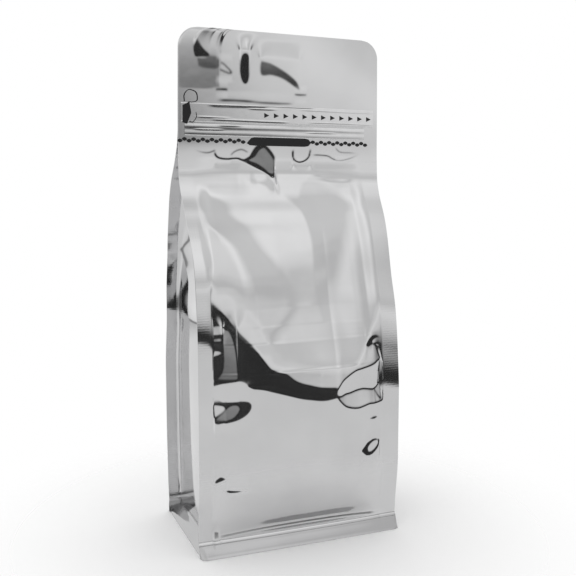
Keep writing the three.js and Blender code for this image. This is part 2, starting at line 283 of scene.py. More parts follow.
# Creased facets: each leans differently from the film round it, and the film goes back to its
# place above and below it, over its reach. [outline, how much more it leans than leanInside,
# reach, share of the change of depth that comes below it].
facets = {
    "edge": 0.45,  # half the width over which the film turns at an outline
    "margin": 1,  # round an outline, where its lean is worked out
    "creaseEdge": 0.3,  # the same for the thin creases
    "creaseMargin": 2,
    "creaseEnds": 0.12,  # share of its length over which a thin crease fades out
    "mostSpreads": 6,  # how often the change of depth is spread sideways for each row at most
    "panel": [
        # strip under the upper edge of the big fold
        [[[-62, 163], [-50, 149.5], [-44, 142], [-37, 134.8], [-32, 128.4], [-38, 132.5],
          [-46, 140], [-50, 144.5], [-54, 147.2], [-62, 147.5]], 0.035, 75, 0],
        # loop at its left end
        [[[-61, 145.5], [-57, 146.6], [-54, 145.8], [-52.6, 143.6], [-54, 141.6], [-61, 141]],
         0.09, 75, 0],
        [[[-54, 141.5], [-51, 144], [-48.5, 140], [-47, 134], [-46, 127], [-45.7, 119],
          [-46, 113.5], [-51, 112], [-56, 110.6], [-60.5, 108], [-60.5, 111], [-57, 115.5],
          [-55, 119], [-54, 126]], 0.05, 75, 0],
        [[[-61.5, 131], [-57, 131.2], [-55.2, 129.6], [-61.5, 127.4]], 0.09, 75, 0],
        [[[-61.5, 138.8], [-56, 139.2], [-55.4, 137.2], [-61.5, 136.4]], 0.07, 75, 0],
        # a paler band low in the big fold
        [[[-40, 109.8], [-32, 109.6], [-24, 109.4], [-16, 106.4], [-8, 103.4], [0, 101.2], [8, 99.8],
          [8, 97.4], [0, 98.6], [-8, 100.2], [-16, 102.8], [-24, 105.4], [-32, 107.2], [-40, 108.6]],
         0.03, 75, 0],
        # crescent under it
        [[[-61.5, 100.5], [-57, 101.3], [-54, 99.6], [-45, 99.7], [-40, 99.3], [-38, 97.4],
          [-38.3, 94.5], [-40.5, 91.5], [-44, 89], [-49, 87], [-55, 85.8], [-61.5, 84.8]], 0, 12, 0.5],
        [[[-61, 86.3], [-55, 87.2], [-50, 88.6], [-46.5, 91.5], [-44.8, 95], [-46, 97.3],
          [-49, 97.6], [-52, 96.2], [-55, 93], [-59, 89.6]], 0.055, 12, 0.5],
        [[[-61.5, 97], [-56, 97.2], [-53.8, 96], [-54.5, 94], [-58, 91.3], [-61.5, 89.8]], 0.1, 12, 0.5],
        # small creases near the left seal
        [[[-61.5, 46], [-60.5, 49], [-58, 51.4], [-56.3, 52.2], [-52.8, 50.7], [-53.2, 49.4],
          [-57, 48.4]], 0, 10, 0.5],
        [[[-56.5, 43.3], [-48, 42.9], [-40, 42.6], [-40.3, 41.8], [-48, 40.6], [-53, 41.2]], 0.03, 10, 0.5],
        # and near the right seal
        [[[43.8, 128], [45.5, 131], [48.5, 133.2], [52.5, 133.8], [56.5, 132.8], [58.4, 130.8],
          [58.2, 128.2], [56, 126.8], [52.5, 127.7], [49, 128.3], [46, 127.2]], 0, 14, 0.5],
        [[[49.5, 130.5], [53, 132.6], [56.4, 131.8], [57.4, 130], [56, 128], [53, 128.7], [50, 129.2]],
         0.15, 14, 0.5],
        [[[37.8, 58.8], [41, 62], [45, 64.6], [50, 65.6], [54.5, 64], [53.8, 59.8], [50, 56.5],
          [45, 54.8], [41.5, 55.5]], 0, 12, 0.5],
        [[[43.3, 60.3], [46, 62.8], [50, 64.2], [53.4, 62.6], [51, 59.4], [47, 57.4], [44, 57.8]],
         -0.1, 12, 0.5],
        [[[44, 79.5], [48, 78.5], [52, 79], [52, 81], [46, 81]], 0.035, 10, 0.5],
        # at the left end of the fold over the skirt
        [[[-61.5, 10.6], [-57, 11], [-56.8, 15.2], [-61.5, 15.6]], 0.01, 7, 0.5],
        # under the press-shut track
        [[[-23, 252.2], [-20.5, 256], [-17.5, 259.3], [-12.5, 260], [-8.5, 257], [-5.5, 253],
          [-5, 250], [-5, 239], [-7.5, 238.4], [-13, 242], [-20, 245.4], [-31, 250.4], [-26, 250.6]],
         0, 13, 1],
        [[[-19.5, 252], [-16.5, 256.2], [-12.6, 258.4], [-9.5, 255.6], [-6.6, 252], [-5.6, 249],
          [-5.6, 241], [-8.5, 241], [-13, 244.6], [-18, 247.6], [-24, 249.8]], 0.04, 13, 1],
    ],
    "header": [
        [[[-69.5, 295], [-45, 295.6], [-43.4, 300], [-43.2, 329.6], [-66, 329.6], [-69.5, 324]],
         0.046, 6, 0],
        [[[-59.8, 330], [-59.3, 314.5], [-50, 314.8], [-54, 319], [-57.5, 324]], 0, 12, 0],
        [[[-58, 314], [-44, 314.5], [-44, 308], [-50, 307], [-57, 308.5]], 0.03, 12, 0],
        [[[-22.8, 311], [-23.4, 316], [-26, 317.9], [-28.6, 316], [-29.4, 310], [-28.6, 303],
          [-26.4, 299], [-24.2, 300], [-23, 305]], 0, 13, 0],
        [[[-15, 314], [-15, 305], [-8, 305], [-1, 303.5], [5, 300.5], [11, 296.7], [12.5, 297.5],
          [10, 302], [5, 306], [-2, 310], [-9, 313]], 0.03, 14, 0],
    ],
    # thin creases: [line, width] and the same three
    "creases": [
        [[[-46, 255.6], [-45.6, 252.6], [-43, 250.8], [-38, 250.3], [-31, 250.8], [-27, 249.6]],
         1.2, -0.01, 5, 1],
        [[[8.3, 258.5], [7.6, 254], [8.8, 250.5], [12, 249], [16, 250], [19, 252.5], [20, 256],
          [20.3, 259]], 1.2, -0.01, 5, 1],
        [[[20, 254], [27, 254], [33, 253.5], [37, 251.5], [41, 250.6], [45, 251], [50, 252.3],
          [55, 254.3], [59, 255.3]], 1.0, 0.01, 5, 1],
        [[[38, 260], [42, 256.4], [50, 256], [58, 255.5]], 0.9, 0.025, 5, 1],
        [[[-60, 256], [-55, 254.4], [-50, 254.2], [-45, 256.2]], 0.9, 0.02, 5, 1],
        [[[-36, 252], [-33, 255], [-28, 256.6], [-23, 254.4]], 0.9, 0.02, 5, 1],
        [[[-46, 287.6], [-30, 287.9], [-12, 287.2], [10, 287.4]], 1.1, 0.02, 5, 0.5],
        [[[-46, 294.3], [-40, 294.6], [-37, 294.4]], 1.0, 0.01, 5, 0.5],
        [[[8, 293.6], [12, 293.4], [18, 293.6]], 1.0, 0.01, 5, 0.5],
        # the fold over the front skirt
        [[[-69, 9.6], [-60, 10.6], [-50, 11.4], [-40, 12.1], [-20, 13], [0, 13.3], [20, 13.1],
          [40, 12.2], [60, 10.6], [66, 10.2]], 2.4, 0.01, 9, 0.5],
        [[[50, 99], [51.5, 96.5], [53, 94], [56, 91]], 0.9, 0, 8, 0.5],
        [[[52, 110], [54, 110.6], [57, 112]], 0.8, 0.01, 8, 0.5],
        [[[-46, 307.5], [-44, 310], [-41.5, 311], [-38, 308.5], [-35, 305.3], [-38, 305.2],
          [-42, 306.6], [-46, 307.5]], 0.8, 0.01, 5, 0.5],
    ],
}


def addTurns(x, z, shapes):
    # the depth that the turned facets add up to, from the left seal; what is left of it at the
    # right seal is taken back evenly across the panel
    turn = np.zeros(x.shape)
    for left, leftEdge, right, rightEdge, amount in shapes:
        low, high = np.min(left, axis=0)[1], np.max(left, axis=0)[1]
        ends = smoothStep(low, low + turns["ends"], z) * (1 - smoothStep(high - turns["ends"], high, z))
        near, far = borderAt(left, z), borderAt(right, z)
        across = smoothStep(near - leftEdge, near + leftEdge, x)
        turn += amount * ends * across * (1 - smoothStep(far - rightEdge, far + rightEdge, x))
    steps = np.diff(x, axis=1) * (turn[:, 1:] + turn[:, :-1]) / 2
    depth = np.hstack([np.zeros((len(x), 1)), np.cumsum(steps, axis=1)])
    return depth - depth[:, -1:] * np.clip((x - leftWall) / (rightWall - leftWall), 0, 1)


def insideOf(outline, x, z, edge, steps=4):
    # 1 inside a closed outline and 0 outside, turning over edge on both sides of it: an upward ray
    # from a place inside crosses the outline an odd number of times. The outline is smooth, but
    # straight from its last point to its first.
    ring = np.array(outline, float)
    ring = splineThrough(np.vstack([ring[-2:], ring, ring[:2]]), steps)[2 * steps:-2 * steps]
    a, b = ring, np.roll(ring, -1, axis=0)
    odd = np.zeros(x.shape, bool)
    nearest = np.full(x.shape, np.inf)
    for (ax, az), (bx, bz) in zip(a, b):
        crosses = (ax > x) != (bx > x)
        odd ^= crosses & (z < az + (x - ax) * (bz - az) / (bx - ax if bx != ax else 1))
        length = max(1e-9, math.hypot(bx - ax, bz - az))  # two equal points give no direction
        ux, uz = (bx - ax) / length, (bz - az) / length
        along = np.clip((x - ax) * ux + (z - az) * uz, 0, length)
        nearest = np.minimum(nearest, np.hypot(x - ax - along * ux, z - az - along * uz))
    return smoothStep(-edge, edge, np.where(odd, nearest, -nearest))


def onCrease(line, width, x, z):
    # 1 within half the width of a line, turning over creaseEdge, and fading out to both its ends
    away, share = distanceTo(line, x, z)
    half, edge, ends = width / 2, facets["creaseEdge"], facets["creaseEnds"]
    across = 1 - smoothStep(half - edge, half + edge, away)
    return across * smoothStep(0, ends, share) * smoothStep(0, ends, 1 - share)


def sumUpwards(rows, lean):
    # the depth that a lean adds up to, from the lowest row (trapezia)
    steps = np.diff(rows)[:, None] * (lean[1:] + lean[:-1]) / 2
    return np.vstack([np.zeros((1, lean.shape[1])), np.cumsum(steps, axis=0)])


def boxRound(points, x, z, by):
    # the rows and columns of the grid that hold the points, with a margin
    low, high = np.min(points, axis=0) - by, np.max(points, axis=0) + by
    rows = np.flatnonzero((z[:, 0] > low[1]) & (z[:, 0] < high[1]))
    columns = np.flatnonzero((x[0] > low[0]) & (x[0] < high[0]))
    return slice(rows[0], rows[-1] + 1), slice(columns[0], columns[-1] + 1)


def settle(edge, count, distance, reach):
    # The depth of one row carries on over the next rows and fades out over the reach. It spreads
    # sideways, more for each row further on: a spread is the (1, 2, 1) / 4 mean of neighbours.
    rows = np.zeros((count, len(edge)))
    for i in range(count):
        for _ in range(min(facets["mostSpreads"], i // 2)):
            edge = np.concatenate([edge[:1], (edge[:-2] + 2 * edge[1:-1] + edge[2:]) / 4, edge[-1:]])
        rows[i] = edge * (1 - smoothStep(0, reach, distance[i]))
    return rows


def creaseLean(x, z, lean, inside, shapes):
    # changes lean to each shape's own inside it, and returns the depth that the change adds up to
    rows = z[:, 0]
    moved = np.zeros(x.shape)
    for outline, *width, extra, reach, below in shapes:
        if width:  # a thin crease
            part = boxRound(outline, x, z, facets["creaseMargin"])
            mask = onCrease(outline, width[0], x[part], z[part])
        else:
            part = boxRound(outline, x, z, facets["margin"])
            mask = insideOf(outline, x[part], z[part], facets["edge"])
        change = np.zeros((mask.shape[0], x.shape[1]))
        change[:, part[1]] = mask * (inside[part] + extra - lean[part])
        lean[part[0]] += change
        step = sumUpwards(rows[part[0]], change)
        step = step - below * step[-1:]
        first, last = part[0].start, part[0].stop
        moved[part[0]] += step
        moved[last:] += settle(step[-1], len(rows) - last, rows[last:] - rows[last - 1], reach)
        moved[:first] += settle(step[0], first, rows[first] - rows[:first][::-1], reach)[::-1]
    return moved


def evenOut(x, z, moved, top):
    # Steps of depth along the tops of the folds are spread sideways over the film above them: each
    # place gets the mean of the others, weighed by exp(-(distance / evenWidth)^2).
    rows = z[:, 0]
    at = np.interp(top[0] + folds["evenFrom"], rows, np.arange(len(rows)))
    row, column = at.astype(int), np.arange(x.shape[1])
    rough = moved[row, column] * (1 - at + row) + moved[row + 1, column] * (at - row)
    near = np.exp(-(((x[0][:, None] - x[0][None]) / folds["evenWidth"]) ** 2))
    smooth = near @ rough / near.sum(axis=1)
    return (smooth - rough) * smoothStep(top + folds["evenFrom"], top + folds["evenTo"], z)


def frontRelief(x, z):
    # How far the folds stand out of the plain front face, on a grid of rows of equal height: the
    # wanted lean less the plain one, added up from below, and faded out to the seals.
    rows = z[:, 0]
    plain = frontFace(x, z)
    turned = addTurns(x, z, turns["panel"])
    lean = np.gradient(plain + turned, rows, axis=0)
    # film that is turned to the side needs more lean to mirror the same light, by
    # (1 + a^2) / (1 - sideways a), a being how fast the face goes back towards the right
    turn = np.gradient(plain, x[0], axis=1)
    turn = np.minimum(folds["mostSideways"], (1 + turn**2) / (1 - folds["sideways"] * turn))
    onLeft = x < folds["pillows"][1]
    top = np.where(onLeft, lineHeight(folds["wedgeTop"], x), lineHeight(folds["pillowTop"], x))
    near, far = folds["aboveReach"]
    above = np.maximum(0, curveThrough(folds["leanAbove"], z) * turn - lean)
    above = lean + above * (1 - smoothStep(top + near, top + far, z))
    inside = curveThrough(folds["leanInside"], z) * turn
    below = np.minimum(lean, curveThrough(folds["leanBelow"], z))

    def over(line, half):
        # 0 below a line and 1 above it
        at = lineHeight(folds[line], x)
        return smoothStep(at - half, at + half, z)

    half = folds["edge"]
    left = below + (inside - below) * over("wedgeFoot", half) + (above - inside) * over("wedgeTop", half)
    half = folds["pillowEdge"]
    pillows = over("pillowFoot", half) - over("pillowMiddle", half) + over("pillowTop", half)
    right = below + (above - below) * pillows
    folded = left + (right - left) * smoothStep(*folds["pillows"], x)
    ends = smoothStep(*folds["endOver"], z)
    change = (folded - lean) * smoothStep(*folds["startOver"], z) * (1 - ends)
    wider = folds["sealEdgeAbove"] - folds["sealEdge"]
    edge = folds["sealEdge"] + wider * ends
    onPanel = smoothStep(leftWall, leftWall + edge, x)
    edge = folds["sealEdge"] + wider * smoothStep(*folds["rightEndOver"], z)
    onPanel = onPanel * (1 - smoothStep(rightWall - edge, rightWall, x))
    moved = sumUpwards(rows, change)
    moved = moved + evenOut(x, z, moved, top)
    moved = moved - moved[-1:] * smoothStep(*folds["backOver"], z)
    lean = lean + change
    creased = creaseLean(x, z, lean, inside, facets["panel"])
    thin = creaseLean(x, z, lean, inside, facets["creases"])
    pressed = creaseLean(x, z, lean, inside, facets["header"])
    return -(turned + moved + creased + thin) * onPanel - pressed


def makeMesh(name, points, faces, material, sharp=40):
    # points in millimetres, faces as arrays of corner numbers, one array for each number of corners;
    # an edge that turns by more than sharp, in degrees, isn't shaded smooth
    mesh = bpy.data.meshes.new(name)
    corners = np.concatenate([np.asarray(f).ravel() for f in faces])
    sizes = np.concatenate([np.full(len(f), len(f[0])) for f in faces])
    starts = np.concatenate([[0], np.cumsum(sizes)[:-1]])
    mesh.vertices.add(len(points))
    mesh.vertices.foreach_set("co", (np.asarray(points) * mm).astype(np.float32).ravel())
    mesh.loops.add(len(corners))
    mesh.loops.foreach_set("vertex_index", corners.astype(np.int32))
    mesh.polygons.add(len(sizes))
    mesh.polygons.foreach_set("loop_start", starts.astype(np.int32))
    mesh.polygons.foreach_set("loop_total", sizes.astype(np.int32))
    mesh.update(calc_edges=True)
    mesh.validate()
    mesh.shade_smooth()
    mesh.set_sharp_from_angle(angle=math.radians(sharp))
    mesh.materials.append(material)
    piece = bpy.data.objects.new(name, mesh)
    bpy.context.scene.collection.objects.link(piece)
    return piece


def closedLoft(rings):
    # rings of equal length, one above the other and anticlockwise seen from the last one; the
    # grid wraps round, and each end is closed by one face
    rows, count = rings.shape[:2]
    row = np.arange(rows - 1)[:, None] * count
    a = (row + np.arange(count)[None]).ravel()
    b = (row + (np.arange(count) + 1)[None] % count).ravel()
    sides = np.stack([a, b, b + count, a + count], 1)
    first = np.arange(count)[::-1][None]
    last = np.arange(count)[None] + (rows - 1) * count
    return rings.reshape(-1, 3), [sides, first, last]


def rowsBetween(*parts):
    # each part is (from, to, step); the ends that two parts share are kept once
    runs = []
    for low, high, step in parts:
        runs.append(np.linspace(low, high, max(2, round((high - low) / step) + 1))[:-1])
    return np.concatenate(runs + [[parts[-1][1]]])


frontGrid = {
    "across": [(-70, -62, 0.72), (-62, -36, 0.58), (-36, 22, 0.7), (22, 59, 0.58), (59, 70, 0.8)],
    "up": [(0, 6, 0.9), (6, 14.4, 0.35), (14.4, 36, 1.3), (36, 66, 0.85), (66, 84, 1.4), (84, 156, 0.64),
           (156, 238, 1.5), (238, 262, 0.5), (262, 286, 1.6), (286, 332, 0.7)],
    "behindEvery": 8,  # one station of the hidden inner face for this many of the outer face
    "behindEnds": [0, 2, 5],  # and these, counted from either edge
}

# the faces inside the bag, behind the front panel: each shuts its piece and is never seen
innerFace = {
    "frontMost": 5.5,  # how deep the front panel's own lies inside the bag at most
    "frontShare": 0.22,  # and the share of the room between the fins that it takes at most
    "backMost": 8,  # the same for the other piece
    "backShare": 0.3,
    "backOverlap": 0.05,  # at the fins it stands this far into the front panel
    "edge": 0.25,  # they are at their full depth where the panel has this share of its bulge
    "from": [10, 24],  # heights over which they go in
}


def insideBy(x, z, most, share):
    # how deep a hidden face lies inside the bag: a share of the room between the fins
    room = share * np.maximum(0, curveThrough(bag["depthOverFins"], z) - 2 * bag["finThickness"])
    depth = np.minimum(most, room) * smoothStep(0, innerFace["edge"], bulgeShare(x))
    return depth * smoothStep(*innerFace["from"], z)


def makeSheet(name, x, z, outer, behind, inner, material):
    # A sheet over a grid: its outer face has a y for each x and z, and its hidden inner face one for
    # each place in the columns behind, which run from right to left.
    front = np.stack([x, outer, z], 2)
    back = np.stack([x[:, behind], inner, z[:, behind]], 2)
    return makeMesh(name, *closedLoft(np.concatenate([front, back], 1)), material)


def makeFront(material):
    # the front face with its folds, closed by a coarser face inside the bag
    across = rowsBetween(*frontGrid["across"])
    x, z = np.meshgrid(across, rowsBetween(*frontGrid["up"]))
    x = x * narrowing(z)
    outer = frontFace(x, z) - frontRelief(x, z)
    count, every, ends = len(across), frontGrid["behindEvery"], np.array(frontGrid["behindEnds"])
    behind = np.concatenate([ends, np.arange(every, count - every, every), count - 1 - ends])
    behind = np.unique(behind)[::-1]
    xIn, zIn = x[:, behind], z[:, behind]
    depth = insideBy(xIn, zIn, innerFace["frontMost"], innerFace["frontShare"])
    inner = frontFace(xIn, zIn) + bag["filmThickness"] + depth
    return makeSheet("frontPanel", x, z, outer, behind, inner, material)


side = {
    "gussetWidth": 82,
    "tuck": [140, 178],  # heights over which the gusset begins to fold in
    "crease": 1.08,  # 1 would make the fold a sharp V
    "leastTuck": 0.3,  # its middle lies this far in at least
    "tuckGap": [0.3, 4],  # depths between the fins over which the tuck opens
    "belly": 0.6,
    "bellyFull": 60,  # the belly grows from the ledge to this height
    "bellyTo": [100, 178],  # and ends over these
    "fillet": 2,  # radius of the corner between the wall and a fin
    "ledgeHeight": 6,
    "ledgeReach": 69.2,
    "stations": 44,
    "finStations": 4,
    "waves": [[0.7, 3.2, 0.4], [0.25, 7.1, 2.1]],  # [height, radians from the middle to a fin, phase]
    "sway": 0.6,  # of the waves on their way up, in radians
    "swayHeight": 37,
    "roundFrom": [8, 30],  # heights over which fillet and waves begin
    "roundGap": [1, 12],  # and the depths between the fins
}


def gussetWall(sign, s, z):
    # Below the tuck the wall bellies out, belly (1 - s^2), above it folds inwards on its middle
    # line, tuck (1 - |s|^crease), and at the floor it turns out into the ledge. s runs from -1 at
    # the front seal to 1 at the back seal. The tuck takes up the film that the depth between the
    # fins leaves over: sqrt(gussetWidth^2 - gap^2) / 2. Its corners are fillets, r (1 - sqrt(1 -
    # near^2)) with near 0 at r from a fin and 1 at the fin, and soft waves run up it.
    wall = leftWall if sign < 0 else rightWall
    wallX = np.full(z.shape, wall)
    front = frontFace(wallX, z) + bag["finThickness"]
    back = backFace(wallX, z) - bag["finThickness"]
    gap = back - front
    slack = np.sqrt(np.maximum(0, side["gussetWidth"] ** 2 - gap**2)) / 2
    opened = smoothStep(*side["tuckGap"], gap)
    tuck = np.maximum(side["leastTuck"], slack * smoothStep(*side["tuck"], z) * opened)
    fill = 1 - smoothStep(*side["bellyTo"], z)
    belly = side["belly"] * fill * smoothStep(side["ledgeHeight"], side["bellyFull"], z) * (1 - s * s)
    reach = side["ledgeReach"] + bag["panelBow"] * (1 - s * s) - abs(wall)
    ledge = reach * (1 - smoothStep(0, side["ledgeHeight"], z))
    x = belly + ledge - tuck * (1 - np.abs(s) ** side["crease"])
    full = smoothStep(*side["roundFrom"], z) * smoothStep(*side["roundGap"], gap)
    near = np.clip(1 - (1 - np.abs(s)) * gap / 2 / side["fillet"], 0, 1)
    x = x + full * side["fillet"] * (1 - np.sqrt(1 - near**2))
    edge = (1 - s**4) * full
    for height, pace, phase in side["waves"]:
        sway = side["sway"] * np.sin(z / side["swayHeight"] + phase)
        x = x + edge * height * np.sin(pace * s + phase + sway)
    return wall + sign * x, front + gap * (s + 1) / 2


backGrid = {
    "across": [(-70, -62, 1.4), (-62, 60, 1.5), (60, 70, 1.4)],
    "up": [(0, 10, 0.9), (10, 60, 1.4), (60, 140, 1.7), (140, 270, 1.3), (270, 332, 2)],
    "hiddenStations": 12,
    # [x, height, half length, half height, turn in degrees, rise, power]
    "dents": [
        [20, 80, 26, 16, 20, 0.8, 2],
        [-30, 120, 22, 12, -25, 0.7, 2],
        [38, 150, 16, 10, 40, 0.6, 2],
        [-40, 60, 18, 9, 10, 0.5, 2],
        [5, 190, 14, 24, 10, 1.1, 2],
    ],
    # [line, rise, reach, power]
    "soft": [
        [[[30, 236], [18, 214], [4, 190], [-10, 160]], 1.4, 9, 1],
        [[[-20, 240], [-24, 212], [-18, 180], [-12, 150]], -1.4, 8, 2],
        [[[50, 226], [40, 198], [34, 165], [28, 138]], -1.2, 8, 2],
    ],
    "softEnds": 0.3,  # share of a line over which its fold fades out
    "softCrest": 0.8,  # a crest is round over this distance
}


def addDents(height, x, z, dents):
    # a dent is rise times (1 - q)^power, q growing from 0 at its middle to 1 at its edge
    for middleX, middleZ, halfLength, halfHeight, turn, rise, power in dents:
        cosine, sine = math.cos(math.radians(turn)), math.sin(math.radians(turn))
        u = ((x - middleX) * cosine + (z - middleZ) * sine) / halfLength
        v = ((z - middleZ) * cosine - (x - middleX) * sine) / halfHeight
        height += rise * np.maximum(0, 1 - u * u - v * v) ** power


def addFolds(height, x, z, lines):
    # across its line a soft fold is exp(-d^2), or exp(-d) where its power is 1, with d its distance
    # by its reach; it fades out to both its ends
    crest = backGrid["softCrest"]
    for points, rise, reach, power in lines:
        away, share = distanceTo(points, x, z)
        ends = smoothStep(0, backGrid["softEnds"], share) * smoothStep(0, backGrid["softEnds"], 1 - share)
        height += rise * np.exp(-((np.hypot(away, crest) - crest) / reach) ** power) * ends


def makeBody(material):
    # one ring for each height: the hidden front, the right side, the back and the left side
    up = rowsBetween(*backGrid["up"])
    x, z = np.meshgrid(rowsBetween(*backGrid["across"]), up)
    relief = np.zeros(x.shape)
    addFolds(relief, x, z, backGrid["soft"])
    addDents(relief, x, z, backGrid["dents"])
    relief = relief * bulgeShare(x)
    back = np.stack([x, backFace(x, z) + relief, z], 2)[:, ::-1]
    hidden = np.linspace(leftWall, rightWall, backGrid["hiddenStations"])
    x, z = np.meshgrid(np.concatenate([[-halfWidth], hidden, [halfWidth]]), up)
    depth = insideBy(x, z, innerFace["backMost"], innerFace["backShare"])
    y = frontFace(x, z) + bag["filmThickness"] - innerFace["backOverlap"] + depth
    front = np.stack([x, y, z], 2)
    s, z = np.meshgrid(np.sin(np.linspace(-1, 1, side["stations"]) * math.pi / 2), up)

    def flank(sign):
        # the inner face of the front fin, the gusset and the inner face of the back fin
        wallX, wallY = gussetWall(sign, s, z)
        wall = abs(leftWall if sign < 0 else rightWall)
        fin = np.linspace(halfWidth, wall, side["finStations"] + 1)[:-1] * sign
        fx, fz = np.meshgrid(fin, up)
        near = np.stack([fx, frontFace(fx, fz) + bag["finThickness"], fz], 2)
        far = np.stack([fx, backFace(fx, fz) - bag["finThickness"], fz], 2)[:, ::-1]
        return np.concatenate([near, np.stack([wallX, wallY, z], 2), far], 1)

    rings = np.concatenate([front, flank(1), back, flank(-1)[:, ::-1]], 1)
    rings[..., 0] *= narrowing(rings[..., 2])
    return makeMesh("sidesAndBack", *closedLoft(rings), material)


def nodeMaterial(name):
    # a new material, its node tree and its shader
    material = bpy.data.materials.new(name)
    material.use_nodes = True
    tree = material.node_tree
    return material, tree, tree.nodes["Principled BSDF"]


def addNode(tree, kind, place, inputs=None, **settings):
    # a node with its settings; each of its inputs is a value, or the output that is linked to it
    node = tree.nodes.new("ShaderNode" + kind)
    node.location = place
    for key, value in settings.items():
        setattr(node, key, value)
    for key, value in (inputs or {}).items():
        if isinstance(value, bpy.types.NodeSocket):
            tree.links.new(value, node.inputs[key])
        else:
            node.inputs[key].default_value = value
    return node


def mathNode(tree, operation, place, first, second=None):
    # the output of a math node
    inputs = {0: first} if second is None else {0: first, 1: second}
    return addNode(tree, "Math", place, inputs, operation=operation).outputs[0]


def mapRange(tree, place, value, low, high, start, end, curve="LINEAR"):
    # the output of a node that carries low to high over to start to end
    inputs = {"Value": value, "From Min": low, "From Max": high, "To Min": start, "To Max": end}
    return addNode(tree, "MapRange", place, inputs, interpolation_type=curve).outputs["Result"]


def grey(value):
    # an opaque grey
    return (value,) * 3 + (1,)


def twoTones(tree, place, value, dark, pale, low=0, high=1):
    # the output of a ramp from a dark colour, up to low, to a pale one, from high
    ramp = addNode(tree, "ValToRGB", place, {"Fac": value})
    for element, at, colour in zip(ramp.color_ramp.elements, (low, high), (dark, pale)):
        element.position = at
        element.color = (*colour, 1)
    return ramp.outputs["Color"]


finish = {
    "darkTone": (0.63, 0.63, 0.635),
    "paleTone": (0.68, 0.68, 0.685),
    "toneTurn": [0.3, 0.7],  # part of the cloud's range over which the tone turns
    "roughness": [0.05, 0.1],
    "cloud": {"Scale": 28, "Detail": 3},  # cells for each metre, and finer steps in them
    "dents": {"Scale": 60, "Detail": 2},
    "dentStrength": 0.03,
    "dentDepth": 1,
    "skirtTop": 7.4,  # painted shade: below this the skirts' colour is darkened
    "skirtEdge": 1,
    "skirtShadeTone": 0.72,
    "knurl": {"Scale": 650, "Randomness": 0.25},  # cells for each metre of the side seals
    "knurlDepth": 0.012,
    "knurlTop": 250,
    "knurlFrom": 1.2,  # outside the inner border of a seal
}


def makeFoil():
    # Mirror film. Its tone and gloss drift with a soft cloud, finer dents turn it a little, the
    # skirts are darkened with painted shade, and the side seals are knurled with cells up to the header.
    material, tree, shader = nodeMaterial("mirrorFoil")
    shader.inputs["Metallic"].default_value = 1
    place = addNode(tree, "TexCoord", (-1200, 0)).outputs["Object"]
    split = addNode(tree, "SeparateXYZ", (-1000, 450), {"Vector": place})
    cloud = addNode(tree, "TexNoise", (-900, 200), {"Vector": place, **finish["cloud"]}).outputs["Fac"]
    tone = twoTones(tree, (-650, 200), cloud, finish["darkTone"], finish["paleTone"], *finish["toneTurn"])
    # painted shade: the skirts' base colour is darker below skirtTop, which dims what they mirror
    low, high = finish["skirtTop"] * mm, (finish["skirtTop"] + finish["skirtEdge"]) * mm
    height = split.outputs["Z"]
    skirts = mapRange(tree, (-800, 450), height, low, high, finish["skirtShadeTone"], 1, "SMOOTHSTEP")
    toned = addNode(tree, "VectorMath", (-350, 300), {0: tone, 1: skirts}, operation="MULTIPLY")
    tree.links.new(toned.outputs["Vector"], shader.inputs["Base Color"])
    haze = mapRange(tree, (-650, -50), cloud, 0, 1, *finish["roughness"])
    tree.links.new(haze, shader.inputs["Roughness"])
    dents = addNode(tree, "TexNoise", (-900, -300), {"Vector": place, **finish["dents"]})
    dented = addNode(tree, "Bump", (-400, -300), {
        "Strength": finish["dentStrength"],
        "Distance": finish["dentDepth"] * mm,
        "Height": dents.outputs["Fac"],
    })
    # a place is on a side seal where it is further from the panel's middle than its inner borders
    cells = addNode(tree, "TexVoronoi", (-900, -550), {"Vector": place, **finish["knurl"]})
    fromMiddle = mathNode(tree, "ADD", (-900, -800), split.outputs["X"], -(leftWall + rightWall) * mm / 2)
    fromMiddle = mathNode(tree, "ABSOLUTE", (-750, -800), fromMiddle)
    border = ((rightWall - leftWall) / 2 + finish["knurlFrom"]) * mm
    onSeal = mathNode(tree, "GREATER_THAN", (-600, -800), fromMiddle, border)
    below = mathNode(tree, "LESS_THAN", (-600, -1000), height, finish["knurlTop"] * mm)
    share = mathNode(tree, "MULTIPLY", (-450, -800), onSeal, below)
    pressed = mathNode(tree, "MULTIPLY", (-300, -600), cells.outputs["Distance"], share)
    knurled = addNode(tree, "Bump", (-150, -400), {
        "Strength": 1,
        "Distance": finish["knurlDepth"] * mm,
        "Height": pressed,
        "Normal": dented.outputs["Normal"],
    })
    tree.links.new(knurled.outputs["Normal"], shader.inputs["Normal"])
    return material


plain = {
    "toneDrift": 0.1,  # share by which a plain finish's tone and gloss drift with its grain
    "glossDrift": 0.2,
    "detail": 4,
}


def makePlain(name, colour, metallic, roughness, grain, specular=0.5):
    # a finish with a fine grain in its colour and gloss, grain being its cells for each metre
    material, tree, shader = nodeMaterial(name)
    shader.inputs["Metallic"].default_value = metallic
    shader.inputs["Specular IOR Level"].default_value = specular
    place = addNode(tree, "TexCoord", (-1000, 0)).outputs["Object"]
    inputs = {"Vector": place, "Scale": grain, "Detail": plain["detail"]}
    noise = addNode(tree, "TexNoise", (-800, 0), inputs).outputs["Fac"]
    dark = [c * (1 - plain["toneDrift"]) for c in colour]
    pale = [c * (1 + plain["toneDrift"]) for c in colour]
    tree.links.new(twoTones(tree, (-550, 100), noise, dark, pale), shader.inputs["Base Color"])
    low, high = roughness * (1 - plain["glossDrift"]), roughness * (1 + plain["glossDrift"])
    tree.links.new(mapRange(tree, (-550, -200), noise, 0, 1, low, high), shader.inputs["Roughness"])
    return material


print("finishes")
foil = makeFoil()
stripFilm = makePlain("stripFilm", (0.72, 0.72, 0.725), metallic=1, roughness=0.12, grain=220)
darkPrint = makePlain("darkPrint", (0.012, 0.012, 0.013), metallic=0, roughness=0.4, grain=300,
                      specular=0.3)

print("front panel")
frontPanel = makeFront(foil)
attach(frontPanel, "root")
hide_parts("foil_bag")

